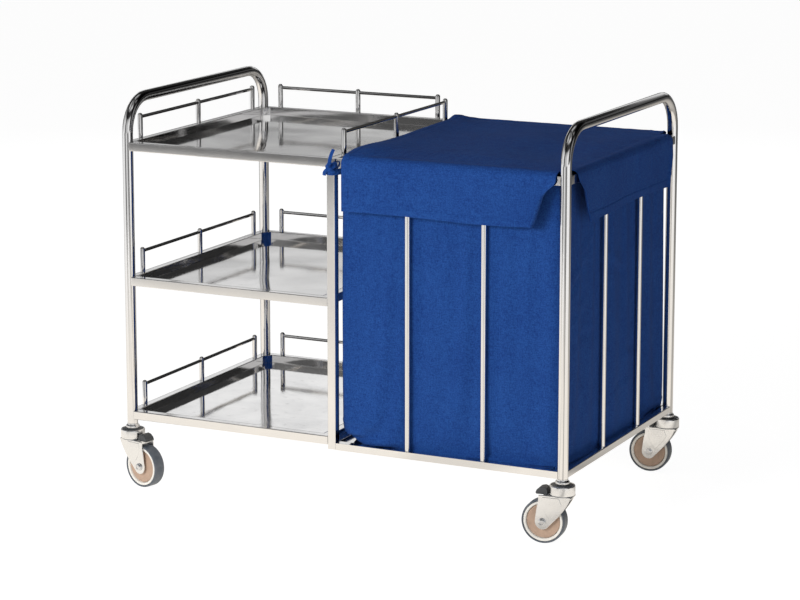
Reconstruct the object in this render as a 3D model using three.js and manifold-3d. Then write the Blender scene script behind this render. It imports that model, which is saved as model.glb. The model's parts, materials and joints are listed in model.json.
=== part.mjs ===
// Linen trolley: three open shelves beside a caged fabric linen bag, on four braked swivel castors.
// Millimetres, +Z up. +X runs along the length from the shelf end to the bag end, -Y is the front.
// The origin is on the floor under the middle of the trolley.
import * as THREE from 'three';
import { mergeVertices } from 'three/addons/utils/BufferGeometryUtils.js';
import Module from 'manifold-3d';

// ---------------------------------------------------------------- driving dimensions
const POST_DX = 1100;        // corner post spacing along the length
const POST_DY = 650;         // corner post spacing across the depth
const TUBE_R = 12.5;         // 25 mm round tube of the end frames
const HANDLE_Z = 918;        // centreline of the push handles
const BEND_R = 80;           // centreline bend radius of the end frames
const POST_BOTTOM = 148;     // lower ends of the corner posts
const MID_X = -15;           // square mid posts, between shelves and bag
const SQ = 20;               // square tube of mid posts, shelf rims and upper rails
const TOP_Z = 819;           // top faces of the three shelf rims
const MIDDLE_Z = 500;
const BOTTOM_Z = 178;
const BASE_RAIL_H = 16;      // flat base rails under the bag
const BAR_R = 6.35;          // half-inch cage bars
const FRONT_BARS_X = [172, 358];
const END_BARS_Y = [-94, 120];
const GUARD_R = 6;           // guard rail posts
const GUARD_H = 60;
const GUARD_ROD_R = 4;
const GUARD_ROD_H = 51;
const GUARD_Y = [-268, 0, 268];
const GUARD_X = [-500, -281, -62];
const SHEET = 1.5;           // stainless sheet of trays and base plate
const GAP = 0.3;             // clearance left between pieces that touch
const BAG = { x0: 8, x1: 538.5, y: 314, z0: 160.2, z1: 817, wall: 3, corner: 14 };
const COVER = { x0: 17, hinge: 527, z0: 819.5, z1: 824.5, skirt: 706, yi: 335.5, yo: 337.5 };
const CASTER = { wheelR: 50, tyreW: 28, trail: 40, headR: 28, headZ0: 110, headZ1: 134, cheekIn: 17, cheekOut: 20 };
const SWIVEL = { front_left: 345, front_right: 186, back_right: 186, back_left: 15 }; // trail direction, degrees from +X

const XL = -POST_DX / 2, XR = POST_DX / 2, YF = -POST_DY / 2, YB = POST_DY / 2, H = SQ / 2;

// ---------------------------------------------------------------- materials
const mat = (color, roughness, metalness) => new THREE.MeshStandardMaterial({ color, roughness, metalness });
const STEEL = () => mat(0xd5d7d9, 0.12, 1.0);
const SHEET_STEEL = () => mat(0xcfd2d4, 0.08, 1.0);
const ZINC = () => mat(0xc4c8cb, 0.25, 1.0);
const TYRE = () => mat(0x5d6670, 0.6, 0.0);
const HUB = () => mat(0xe9e7e2, 0.45, 0.0);
const PEDAL = () => mat(0x4a4e53, 0.5, 0.0);
const FABRIC = () => mat(0x17408f, 0.85, 0.0);
const BOLT = () => mat(0xb9bcbf, 0.3, 1.0);

// ---------------------------------------------------------------- solid helpers
const wasm = await Module();
wasm.setup();

function toSolid(geometry) {
  let g = geometry.index ? geometry.clone() : geometry.clone();
  g.deleteAttribute('normal');
  g.deleteAttribute('uv');
  g = mergeVertices(g, 1e-4);
  return new wasm.Manifold(new wasm.Mesh({
    numProp: 3,
    vertProperties: new Float32Array(g.attributes.position.array),
    triVerts: new Uint32Array(g.index.array),
  }));
}
function fromSolid(solid) {
  const m = solid.getMesh();
  const g = new THREE.BufferGeometry();
  g.setAttribute('position', new THREE.BufferAttribute(new Float32Array(m.vertProperties), 3));
  g.setIndex(new THREE.BufferAttribute(new Uint32Array(m.triVerts), 1));
  g.computeVertexNormals();
  return g;
}
const join = (...gs) => fromSolid(gs.map(toSolid).reduce((a, b) => a.add(b)));
const cut = (g, ...tools) => fromSolid(tools.map(toSolid).reduce((a, b) => a.subtract(b), toSolid(g)));

function piece(name, geometry, material) {
  const m = new THREE.Mesh(geometry, material);
  m.name = name;
  return m;
}
function shapeOf(points) {
  const s = new THREE.Shape();
  s.moveTo(points[0][0], points[0][1]);
  for (const p of points.slice(1)) s.lineTo(p[0], p[1]);
  s.closePath();
  return s;
}
// Plan outline raised from z0 to z1.
function slab(points, z0, z1) {
  return new THREE.ExtrudeGeometry(shapeOf(points), { depth: z1 - z0, bevelEnabled: false }).translate(0, 0, z0);
}
// Outline drawn in X and Z, run along Y from y0 to y1.
function runY(points, y0, y1) {
  return new THREE.ExtrudeGeometry(shapeOf(points), { depth: y1 - y0, bevelEnabled: false })
    .rotateX(Math.PI / 2).translate(0, y1, 0);
}
function box(x0, x1, y0, y1, z0, z1) {
  return new THREE.BoxGeometry(x1 - x0, y1 - y0, z1 - z0).translate((x0 + x1) / 2, (y0 + y1) / 2, (z0 + z1) / 2);
}
function rod(r, z0, z1, segments = 16) {
  return new THREE.CylinderGeometry(r, r, z1 - z0, segments).rotateX(Math.PI / 2).translate(0, 0, (z0 + z1) / 2);
}
// Turned piece about Z from [radius, z] pairs that start and end on the axis or close on themselves.
function turned(profile, segments) {
  return new THREE.LatheGeometry(profile.map(([r, z]) => new THREE.Vector2(r, z)), segments).rotateX(Math.PI / 2);
}
// Arc points about (cx, cy).
function arc(cx, cy, r, a0, a1, n) {
  const out = [];
  for (let i = 0; i <= n; i++) {
    const a = a0 + (a1 - a0) * i / n;
    out.push([cx + r * Math.cos(a), cy + r * Math.sin(a)]);
  }
  return out;
}

// ---------------------------------------------------------------- end frames
// Centreline with its own stations, so straight runs stay long and bends stay fine.
class StationCurve extends THREE.Curve {
  constructor(points, tangents) { super(); this.points = points; this.tangents = tangents; }
  at(list, t) { return list[Math.round(t * (list.length - 1))].clone(); }
  getPoint(t) { return this.at(this.points, t); }
  getPointAt(u) { return this.at(this.points, u); }
  getTangent(t) { return this.at(this.tangents, t); }
  getTangentAt(u) { return this.at(this.tangents, u); }
}
function endFrame() {
  const pts = [], tan = [];
  const put = (y, z, ty, tz) => { pts.push(new THREE.Vector3(0, y, z)); tan.push(new THREE.Vector3(0, ty, tz)); };
  const N = 8;
  put(YF, POST_BOTTOM, 0, 1);
  for (let i = 0; i <= N; i++) {
    const a = Math.PI - (Math.PI / 2) * i / N;
    put(YF + BEND_R + BEND_R * Math.cos(a), HANDLE_Z - BEND_R + BEND_R * Math.sin(a), Math.sin(a), -Math.cos(a));
  }
  for (let i = 0; i <= N; i++) {
    const a = Math.PI / 2 - (Math.PI / 2) * i / N;
    put(YB - BEND_R + BEND_R * Math.cos(a), HANDLE_Z - BEND_R + BEND_R * Math.sin(a), Math.sin(a), -Math.cos(a));
  }
  put(YB, POST_BOTTOM, 0, -1);
  const section = new THREE.Shape();
  const S = 20;
  for (let i = 0; i < S; i++) {
    const a = (i + 0.5) / S * 2 * Math.PI;
    const x = TUBE_R * Math.cos(a), y = TUBE_R * Math.sin(a);
    if (i === 0) section.moveTo(x, y); else section.lineTo(x, y);
  }
  section.closePath();
  const tube = new THREE.ExtrudeGeometry(section, { steps: pts.length - 1, extrudePath: new StationCurve(pts, tan), bevelEnabled: false });
  // blind sockets for the castor stems in both lower ends
  const socket = (y) => rod(10.6, POST_BOTTOM - 5, POST_BOTTOM + 44, 14).translate(0, y, 0);
  return cut(tube, socket(YF), socket(YB));
}

// ---------------------------------------------------------------- rails with ends shaped round the posts
const COPE = TUBE_R + GAP;
const copeArc = (cx, cy, from, to, n = 6) => arc(cx, cy, COPE, from, to, n);
// Rail along X from x0 (square end) to the right corner posts, on side sy.
function railX(x0, sy, z0, z1) {
  const y = sy * YB;
  const outer = Math.asin(H / COPE), inner = Math.asin((H - 2.5) / COPE);
  // outline for the front side, mirrored for the back
  const p = [[x0, -H], ...copeArc(XR, 0, Math.PI + outer, Math.PI - inner, 7), [XR - H - 0.6, H - 2.5], [XR - H - 0.6, H], [x0, H]];
  const q = sy < 0 ? p.map(([a, b]) => [a, y + b]) : p.map(([a, b]) => [a, y - b]).reverse();
  return slab(q, z0, z1);
}
// Rail along Y between the two right corner posts.
function railY(z0, z1) {
  const a = Math.asin(H / COPE);
  return slab([
    ...copeArc(XR, YF, Math.PI / 2 + a, Math.PI / 2 - a, 7),
    ...copeArc(XR, YB, -Math.PI / 2 + a, -Math.PI / 2 - a, 7),
  ], z0, z1);
}

// ---------------------------------------------------------------- shelves
// Rim frame of square tube, and a pressed sheet tray that drops inside it.
const CH = 15; // corner gusset of the rim frame
function rimFrame(xRight, zTop) {
  const a = Math.asin(H / COPE);
  const outer = [
    ...copeArc(XL, YF, Math.PI / 2 + a, -a, 9),
    [xRight, YF - H], [xRight, YB + H],
    ...copeArc(XL, YB, a, -Math.PI / 2 - a, 9),
  ];
  const s = shapeOf(outer);
  const h = new THREE.Path();
  const xi0 = XL + H, xi1 = xRight - SQ, yi = YB - H;
  h.moveTo(xi0, -yi + CH); h.lineTo(xi0, yi - CH); h.lineTo(xi0 + CH, yi);
  h.lineTo(xi1, yi); h.lineTo(xi1, -yi); h.lineTo(xi0 + CH, -yi); h.closePath();
  s.holes.push(h);
  return new THREE.ExtrudeGeometry(s, { depth: SQ, bevelEnabled: false }).translate(0, 0, zTop - SQ);
}
function tray(xRight, zTop) {
  const ring = (d, c) => {
    const x0 = XL + H + d, x1 = xRight - SQ - d, y = YB - H - d;
    return [[x0 + c, -y], [x1, -y], [x1, y], [x0 + c, y], [x0, y - c], [x0, -y + c]];
  };
  const outer = slab(ring(GAP, CH), zTop - SQ, zTop - 0.4);
  const pocket = slab(ring(GAP + SHEET, CH - 0.6), zTop - SQ + SHEET, zTop + 5);
  return cut(outer, pocket);
}

// ---------------------------------------------------------------- guard rails
function guardPost() {
  return turned([[0, 0], [GUARD_R, 0], [GUARD_R, GUARD_H - 4], [GUARD_R * 0.55, GUARD_H - 0.7], [0, GUARD_H]], 10);
}
function guardAlongY(x, z) {
  const posts = GUARD_Y.map((y) => guardPost().translate(x, y, z + GAP));
  const r = new THREE.CylinderGeometry(GUARD_ROD_R, GUARD_ROD_R, GUARD_Y[2] - GUARD_Y[0], 8).translate(x, 0, z + GUARD_ROD_H);
  return join(...posts, r);
}
function guardAlongX(y, z) {
  const posts = GUARD_X.map((x) => guardPost().translate(x, y, z + GAP));
  const r = new THREE.CylinderGeometry(GUARD_ROD_R, GUARD_ROD_R, GUARD_X[2] - GUARD_X[0], 8)
    .rotateZ(Math.PI / 2).translate((GUARD_X[0] + GUARD_X[2]) / 2, y, z + GUARD_ROD_H);
  return join(...posts, r);
}

// ---------------------------------------------------------------- soft goods, plain solids
function roundedPlan(x0, x1, y, r, n = 3) {
  return [
    ...arc(x1 - r, -y + r, r, -Math.PI / 2, 0, n), ...arc(x1 - r, y - r, r, 0, Math.PI / 2, n),
    ...arc(x0 + r, y - r, r, Math.PI / 2, Math.PI, n), ...arc(x0 + r, -y + r, r, Math.PI, 1.5 * Math.PI, n),
  ];
}
function linenBag() {
  const outer = slab(roundedPlan(BAG.x0, BAG.x1, BAG.y, BAG.corner), BAG.z0, BAG.z1);
  const inner = slab(roundedPlan(BAG.x0 + BAG.wall, BAG.x1 - BAG.wall, BAG.y - BAG.wall, BAG.corner - BAG.wall), BAG.z0 + BAG.wall, BAG.z1 + 5);
  return cut(outer, inner);
}
// Loose cover: top sheet with front and back skirts, ending at the fold over the end rail.
function bagCover() {
  const top = box(COVER.x0, COVER.hinge - GAP, -COVER.yo, COVER.yo, COVER.z0, COVER.z1);
  const skirt = [[COVER.x0, COVER.skirt - 4], [COVER.hinge - 62, COVER.skirt], [COVER.hinge - 30, COVER.skirt + 50], [COVER.hinge - GAP, COVER.z0 + 0.5], [COVER.hinge - GAP, COVER.z1], [COVER.x0, COVER.z1]];
  return join(top, runY(skirt, -COVER.yo, -COVER.yi), runY(skirt, COVER.yi, COVER.yo));
}
function coverEndSkirt() {
  const y = 286;
  const flap = [[COVER.hinge, COVER.z0], [XR + H + 0.5, COVER.z0], [XR + H + 0.5, COVER.skirt + 6], [XR + H + 2.5, COVER.skirt + 6], [XR + H + 2.5, COVER.z1], [COVER.hinge, COVER.z1]];
  return runY(flap, -y, y);
}
function tapeTie() {
  const knot = new THREE.IcosahedronGeometry(1, 1).scale(15, 0.95, 10).translate(MID_X + 1, YF - H - 1.5, 802);
  const tail = runY([[MID_X - 14, 798], [MID_X - 7, 806], [MID_X - 12, 834], [MID_X - 22, 832]], YF - H - 2.2, YF - H - 1);
  return join(knot, tail);
}

// ---------------------------------------------------------------- castors (trail along local +X)
const C = CASTER;
const SEG = 24;
const TREAD_R = C.wheelR / Math.cos(Math.PI / SEG);
function turnedAboutY(profile, segments, phase = 0) {
  // profile is [radius, y] pairs
  return new THREE.LatheGeometry(profile.map(([r, y]) => new THREE.Vector2(r, y)), segments).rotateY(phase);
}
function casterStem() {
  return turned([[0, 108], [6, 108], [6, 134.4], [23, 134.4], [24, 136.6], [15, 137.4], [15.5, 139], [15.5, 145], [14, POST_BOTTOM - 0.4], [10, POST_BOTTOM - 0.4], [10, POST_BOTTOM + 36], [8, POST_BOTTOM + 40], [0, POST_BOTTOM + 40]], 12);
}
function casterFork() {
  const cheek = [[-24, C.headZ0 + 1], [-24, C.headZ0 - 7], [30, 40.2], ...arc(C.trail, C.wheelR, 14, -2.36, -0.1, 6), [50, 104], [48, C.headZ0 + 1]];
  const left = runY(cheek, -C.cheekOut, -C.cheekIn), right = runY(cheek, C.cheekIn, C.cheekOut);
  const plate = box(-25, 29, -C.cheekOut, C.cheekOut, C.headZ0 - 4.5, C.headZ0 + 1);
  const head = turned([[0, C.headZ0 - 2], [22, C.headZ0 - 2], [C.headR, C.headZ0 + 1], [C.headR, C.headZ1 - 4], [C.headR - 3, C.headZ1], [0, C.headZ1]], 18);
  const bore = rod(6.5, 90, 140, 12);
  const hole = new THREE.CylinderGeometry(4.4, 4.4, 60, 10).translate(C.trail, 0, C.wheelR);
  return cut(join(head, plate, left, right), bore, hole);
}
function casterAxle() {
  return turnedAboutY([[0, -24.5], [6, -24.5], [7.2, -23], [7.2, -20.3], [4, -20.3], [4, 20.3], [7.2, 20.3], [7.2, 23], [6, 24.5], [0, 24.5]], 10);
}
function casterHub() {
  return turnedAboutY([[4.4, -15.6], [11, -15.6], [12, -9], [38.5, -8.5], [39, -12], [45.3, -12], [45.3, 12], [39, 12], [38.5, 8.5], [12, 9], [11, 15.6], [4.4, 15.6], [4.4, -15.6]], 16);
}
function casterTyre() {
  const w = C.tyreW / 2;
  return turnedAboutY([[45.7, -w + 2], [47.6, -w], [TREAD_R, -w + 4], [TREAD_R, w - 4], [47.6, w], [45.7, w - 2], [45.7, -w + 2]], SEG, Math.PI / SEG);
}
function casterPedal() {
  const side = [[30.5, 111], [56, 111], [58.5, 114], [56, 120], [49, 126], [40, 128], [33, 125.5], [30.5, 119]];
  return runY(side, -13, 13);
}
function caster(corner, sx, sy) {
  const g = new THREE.Group();
  g.position.set(sx * XR, sy * YB, 0);
  g.add(piece(`caster_${corner}_stem`, casterStem(), ZINC()));
  const swivel = new THREE.Group();
  swivel.rotation.z = THREE.MathUtils.degToRad(SWIVEL[corner]);
  swivel.add(piece(`caster_${corner}_fork`, casterFork(), ZINC()));
  swivel.add(piece(`caster_${corner}_brake_pedal`, casterPedal(), PEDAL()));
  const axle = new THREE.Group();
  axle.position.set(C.trail, 0, C.wheelR);
  axle.add(piece(`caster_${corner}_axle`, casterAxle(), BOLT()));
  axle.add(piece(`caster_${corner}_wheel_hub`, casterHub(), HUB()));
  axle.add(piece(`caster_${corner}_tyre`, casterTyre(), TYRE()));
  swivel.add(axle);
  g.add(swivel);
  return g;
}

// ---------------------------------------------------------------- assembly
const trolley = new THREE.Group();
const add = (name, geometry, material) => trolley.add(piece(name, geometry, material));

const leftFrame = piece('left_end_frame', endFrame(), STEEL());
leftFrame.position.x = XL;
const rightFrame = piece('right_end_frame', endFrame(), STEEL());
rightFrame.position.x = XR;
trolley.add(leftFrame, rightFrame);

const midTop = TOP_Z - SQ - GAP;
add('front_mid_post', box(MID_X - H, MID_X + H, YF - H, YF + H, POST_BOTTOM, midTop), STEEL());
add('back_mid_post', box(MID_X - H, MID_X + H, YB - H, YB + H, POST_BOTTOM, midTop), STEEL());

const railStart = MID_X + H + GAP, baseTop = POST_BOTTOM + BASE_RAIL_H;
add('front_base_rail', railX(railStart, -1, POST_BOTTOM, baseTop), STEEL());
add('back_base_rail', railX(railStart, 1, POST_BOTTOM, baseTop), STEEL());
add('right_base_rail', railY(POST_BOTTOM, baseTop), STEEL());
add('mid_base_rail', box(MID_X - H, MID_X + H, YF + H + GAP, YB - H - GAP, POST_BOTTOM, baseTop), STEEL());
add('bag_base_plate', box(railStart, XR - H - 0.8, YF + H + GAP, YB - H - GAP, 157.8, 157.8 + SHEET), SHEET_STEEL());

add('front_upper_rail', railX(railStart, -1, TOP_Z - SQ, TOP_Z), STEEL());
add('back_upper_rail', railX(railStart, 1, TOP_Z - SQ, TOP_Z), STEEL());
add('right_upper_rail', railY(TOP_Z - SQ, TOP_Z), STEEL());

const bar = () => rod(BAR_R, baseTop + GAP, TOP_Z - SQ - GAP, 12);
FRONT_BARS_X.forEach((x, i) => add(`front_bar_${i + 1}`, bar().translate(x, YF, 0), STEEL()));
FRONT_BARS_X.forEach((x, i) => add(`back_bar_${i + 1}`, bar().translate(x, YB, 0), STEEL()));
END_BARS_Y.forEach((y, i) => add(`right_bar_${i + 1}`, bar().translate(XR, y, 0), STEEL()));

const shelves = [['top', TOP_Z, MID_X + H], ['middle', MIDDLE_Z, MID_X - H - GAP], ['bottom', BOTTOM_Z, MID_X - H - GAP]];
for (const [name, z, xRight] of shelves) {
  add(`${name}_shelf_rim`, rimFrame(xRight, z), STEEL());
  add(`${name}_shelf_tray`, tray(xRight, z), SHEET_STEEL());
  add(`${name}_left_guard_rail`, guardAlongY(XL, z), STEEL());
  add(`${name}_back_guard_rail`, guardAlongX(YB, z), STEEL());
}
add('top_right_guard_rail', guardAlongY(MID_X, TOP_Z), STEEL());

add('linen_bag', linenBag(), FABRIC());
add('bag_cover', bagCover(), FABRIC());
add('cover_end_skirt', coverEndSkirt(), FABRIC());
add('tape_tie', tapeTie(), FABRIC());

trolley.add(caster('front_left', -1, -1), caster('front_right', 1, -1), caster('back_left', -1, 1), caster('back_right', 1, 1));

export default trolley;
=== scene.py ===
import bpy
import json
import math
import numpy as np
from mathutils import Vector, Matrix, noise


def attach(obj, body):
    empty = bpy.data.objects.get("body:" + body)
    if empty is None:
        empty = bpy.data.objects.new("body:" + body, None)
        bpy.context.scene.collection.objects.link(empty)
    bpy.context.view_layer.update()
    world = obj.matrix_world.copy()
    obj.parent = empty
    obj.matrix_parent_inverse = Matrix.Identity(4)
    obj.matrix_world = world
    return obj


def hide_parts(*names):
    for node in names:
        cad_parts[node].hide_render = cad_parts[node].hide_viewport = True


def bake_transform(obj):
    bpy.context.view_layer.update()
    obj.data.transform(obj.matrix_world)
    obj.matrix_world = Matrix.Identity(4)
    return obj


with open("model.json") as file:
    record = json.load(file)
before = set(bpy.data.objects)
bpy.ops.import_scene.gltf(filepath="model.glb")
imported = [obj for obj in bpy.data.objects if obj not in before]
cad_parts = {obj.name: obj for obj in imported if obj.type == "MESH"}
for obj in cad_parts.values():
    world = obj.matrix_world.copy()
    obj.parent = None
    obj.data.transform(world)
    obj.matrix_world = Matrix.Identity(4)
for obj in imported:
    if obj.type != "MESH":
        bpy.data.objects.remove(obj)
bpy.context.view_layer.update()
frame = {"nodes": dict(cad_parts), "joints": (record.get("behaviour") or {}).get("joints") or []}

NODES = frame["nodes"]
scene = bpy.context.scene
RNG = np.random.default_rng(11)

# ------------------------------------------------------------------ camera
cam_data = bpy.data.cameras.new("camera")
cam = bpy.data.objects.new("camera", cam_data)
scene.collection.objects.link(cam)
scene.camera = cam
YAW, PITCH = math.radians(-26.0997), math.radians(10.464)
look = Vector((math.sin(YAW) * math.cos(PITCH), math.cos(YAW) * math.cos(PITCH), -math.sin(PITCH)))
cam.location = (2.7737, -5.6737, 1.7914)
cam.rotation_mode = "QUATERNION"
cam.rotation_quaternion = look.to_track_quat("-Z", "Y")
cam_data.sensor_width = 36.0
cam_data.lens = 2731.6 / 800 * 36.0
cam_data.shift_x = 0.0
cam_data.shift_y = -0.1
cam_data.clip_start, cam_data.clip_end = 0.1, 200.0
scene.view_settings.view_transform = "Standard"
scene.view_settings.look = "None"


# ------------------------------------------------------------------ small node helper
class Net:
    def __init__(self, tree):
        self.t = tree
        self.x = 0

    def n(self, kind, **kw):
        node = self.t.nodes.new(kind)
        node.location = (self.x, 0)
        self.x += 180
        for k, v in kw.items():
            setattr(node, k, v)
        return node

    def l(self, a, b):
        self.t.links.new(a, b)

    def math(self, op, a, b=None, clamp=False):
        m = self.n("ShaderNodeMath", operation=op, use_clamp=clamp)
        for i, v in enumerate((a, b)):
            if v is None:
                continue
            if isinstance(v, (int, float)):
                m.inputs[i].default_value = v
            else:
                self.l(v, m.inputs[i])
        return m.outputs[0]

    def ramp(self, fac, stops, interp="LINEAR"):
        r = self.n("ShaderNodeValToRGB")
        cr = r.color_ramp
        cr.interpolation = interp
        while len(cr.elements) > 1:
            cr.elements.remove(cr.elements[-1])
        cr.elements[0].position = stops[0][0]
        c = stops[0][1]
        cr.elements[0].color = (c, c, c, 1) if isinstance(c, (int, float)) else (*c, 1)
        for p, c in stops[1:]:
            e = cr.elements.new(p)
            e.color = (c, c, c, 1) if isinstance(c, (int, float)) else (*c, 1)
        self.l(fac, r.inputs[0])
        return r.outputs[0]

    def noise(self, vec, scale, detail=3.0, rough=0.5, dist=0.0):
        n = self.n("ShaderNodeTexNoise")
        n.inputs["Scale"].default_value = scale
        n.inputs["Detail"].default_value = detail
        n.inputs["Roughness"].default_value = rough
        n.inputs["Distortion"].default_value = dist
        self.l(vec, n.inputs["Vector"])
        return n.outputs["Fac"]

    def scaled(self, vec, s):
        m = self.n("ShaderNodeMapping")
        m.inputs["Scale"].default_value = s
        self.l(vec, m.inputs["Vector"])
        return m.outputs[0]

    def mix(self, fac, a, b, kind="RGBA", blend="MIX"):
        m = self.n("ShaderNodeMix", data_type=kind, blend_type=blend)
        ins = {"RGBA": (6, 7), "FLOAT": (2, 3)}[kind]
        if isinstance(fac, (int, float)):
            m.inputs[0].default_value = fac
        else:
            self.l(fac, m.inputs[0])
        for i, v in zip(ins, (a, b)):
            if isinstance(v, (int, float)):
                m.inputs[i].default_value = v
            elif isinstance(v, tuple):
                m.inputs[i].default_value = (*v, 1)
            else:
                self.l(v, m.inputs[i])
        return m.outputs[{"RGBA": 2, "FLOAT": 0}[kind]]

    def bump(self, height, strength, distance, normal=None):
        b = self.n("ShaderNodeBump")
        b.inputs["Strength"].default_value = strength
        b.inputs["Distance"].default_value = distance
        self.l(height, b.inputs["Height"])
        if normal is not None:
            self.l(normal, b.inputs["Normal"])
        return b.outputs[0]


# ------------------------------------------------------------------ studio: white sweep with dark flags for the steel to reflect
world = bpy.data.worlds.new("studio")
scene.world = world
world.use_nodes = True
wt = world.node_tree
wt.nodes.clear()
w = Net(wt)
out = w.n("ShaderNodeOutputWorld")
tc = w.n("ShaderNodeTexCoord")
sep = w.n("ShaderNodeSeparateXYZ")
w.l(tc.outputs["Generated"], sep.inputs[0])
negy = w.math("MULTIPLY", sep.outputs[1], -1.0)
az = w.math("ARCTAN2", sep.outputs[0], negy)          # 0 looks to the front (-Y), positive towards +X
az01 = w.math("ADD", w.math("MULTIPLY", az, 1 / (2 * math.pi)), 0.5)
d = lambda deg: 0.5 + deg / 360.0
e = lambda deg: 0.5 + 0.5 * math.sin(math.radians(deg))
up = w.math("ADD", w.math("MULTIPLY", sep.outputs[2], 0.5), 0.5)
back = w.ramp(up, [(0.0, 0.3), (e(0), 0.5), (e(4), 0.05), (e(7.2), 0.14), (e(8.2), 0.42), (e(9.2), 0.60), (e(11), 0.70), (e(14), 0.92), (e(18), 0.75), (e(22), 0.03), (e(58), 0.02), (e(64), 0.5), (e(70), 0.5), (e(77), 0.30), (1.0, 0.34)])
patch = w.noise(w.scaled(tc.outputs["Generated"], (1.0, 1.0, 2.0)), 9.0, 2.0, 0.5)
back = w.math("MULTIPLY", back, w.ramp(patch, [(0.30, 0.45), (0.45, 0.95), (0.6, 1.05), (0.72, 0.6)]))
sides = w.ramp(az01, [
    (0.0, 0.0), (d(-120), 0.0), (d(-110), 0.02), (d(-98), 0.35), (d(-44), 0.9), (d(-33), 0.95), (d(-29), 0.10), (d(-14), 0.04),
    (d(-8), 0.5), (d(30), 0.65), (d(36), 0.95), (d(62), 0.9), (d(68), 0.03), (d(92), 0.03), (d(98), 0.30), (d(108), 0.25), (d(118), 0.0), (1.0, 0.0)])
front_up = w.ramp(up, [(0.0, 1.0), (e(18), 1.0), (e(28), 0.7), (e(34), 0.05), (e(52), 0.04), (e(57), 0.8), (e(66), 0.8), (e(72), 0.25), (1.0, 0.30)])
front = w.math("MULTIPLY", sides, front_up)
isback = w.ramp(az01, [(0.0, 1.0), (d(-125), 1.0), (d(-115), 0.0), (d(108), 0.0), (d(118), 0.02), (d(150), 0.05), (d(170), 0.15), (1.0, 1.0)])
refl = w.math("ADD", w.math("MULTIPLY", back, isback), front)
lp = w.n("ShaderNodeLightPath")
col = w.mix(lp.outputs["Is Camera Ray"], refl, (1.0, 1.0, 1.0))
bg = w.n("ShaderNodeBackground")
bg.inputs["Strength"].default_value = 1.0
w.l(col, bg.inputs["Color"])
w.l(bg.outputs[0], out.inputs["Surface"])


def area(name, loc, target, size, power, glossy=False, colour=(1, 1, 1)):
    l = bpy.data.lights.new(name, "AREA")
    l.shape, l.size, l.size_y, l.energy, l.color = "RECTANGLE", size[0], size[1], power, colour
    o = bpy.data.objects.new(name, l)
    scene.collection.objects.link(o)
    o.location = loc
    o.rotation_mode = "QUATERNION"
    o.rotation_quaternion = (Vector(target) - Vector(loc)).to_track_quat("-Z", "Y")
    o.visible_glossy = glossy
    return o


area("key", (-1.3, -4.6, 2.1), (0.1, 0, 0.45), (2.2, 1.5), 150.0, colour=(1.0, 0.985, 0.96))
area("fill_right", (4.2, -1.2, 1.8), (0.3, 0, 0.5), (1.6, 1.6), 6.0)
area("back", (-2.2, 4.4, 2.2), (0, 0, 0.5), (2.0, 1.4), 26.0)
area("top", (0.0, -0.4, 4.2), (0, 0, 0.6), (2.6, 1.8), 9.0)

# floor: white sheet to the eye; the steel sees it fade into a dim room with a few bright and dark bands
fm = bpy.data.materials.new("floor")
fm.use_nodes = True
ft = fm.node_tree
ft.nodes.clear()
f = Net(ft)
fo = f.n("ShaderNodeOutputMaterial")
fco = f.n("ShaderNodeTexCoord").outputs["Object"]
fs = f.n("ShaderNodeSeparateXYZ")
f.l(fco, fs.inputs[0])
fx = f.math("SUBTRACT", fs.outputs[0], 0.1)
fy = f.math("MULTIPLY", fs.outputs[1], -1.0)
fr = f.math("SQRT", f.math("ADD", f.math("MULTIPLY", fx, fx), f.math("MULTIPLY", fy, fy)))
faz = f.math("ADD", f.math("MULTIPLY", f.math("ARCTAN2", fx, fy), 1 / (2 * math.pi)), 0.5)
bands = f.ramp(faz, [
    (0.0, 0.30), (d(-165), 0.02), (d(-112), 0.02), (d(-104), 0.85), (d(-44), 0.95), (d(-38), 0.15), (d(-16), 0.13), (d(-11), 0.80),
    (d(10), 0.80), (d(16), 0.22), (d(34), 0.22), (d(37), 0.02), (d(45), 0.02), (d(49), 1.0), (d(98), 0.95), (d(108), 0.03), (d(158), 0.02), (d(170), 0.05), (1.0, 0.30)])
near = f.ramp(f.math("MULTIPLY", fr, 0.1), [(0.0, 1.0), (0.14, 1.0), (0.31, 0.42), (0.48, 0.06), (0.7, 0.0)])
behind = f.ramp(faz, [(0.0, 0.30), (d(-140), 0.25), (d(-112), 0.40), (d(-98), 1.0), (d(96), 1.0), (d(110), 0.35), (d(125), 0.55), (d(165), 0.60), (1.0, 0.30)])
hair = f.ramp(faz, [(0.0, 1.0), (d(-14), 1.0), (d(-10), 0.80), (d(4), 0.80), (d(8), 1.0), (d(34), 1.0), (d(38), 0.42), (d(45), 0.42), (d(49), 1.0), (1.0, 1.0)])
cream = f.mix(f.math("MULTIPLY", behind, hair), (0.0, 0.0, 0.0), (0.93, 0.865, 0.77))
seen = f.mix(near, bands, cream)
flp = f.n("ShaderNodeLightPath")
seen = f.mix(flp.outputs["Is Camera Ray"], seen, (0.93, 0.93, 0.93))
dif = f.n("ShaderNodeBsdfDiffuse")
dif.inputs["Color"].default_value = (0.25, 0.25, 0.25, 1)
emi = f.n("ShaderNodeEmission")
f.l(seen, emi.inputs["Color"])
emi.inputs["Strength"].default_value = 1.0
addn = f.n("ShaderNodeAddShader")
f.l(dif.outputs[0], addn.inputs[0])
f.l(emi.outputs[0], addn.inputs[1])
f.l(addn.outputs[0], fo.inputs["Surface"])
bpy.ops.mesh.primitive_plane_add(size=90.0, location=(0, 0, -0.0004))
floor = bpy.context.object
floor.name = "floor"
floor.data.materials.append(fm)


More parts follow.
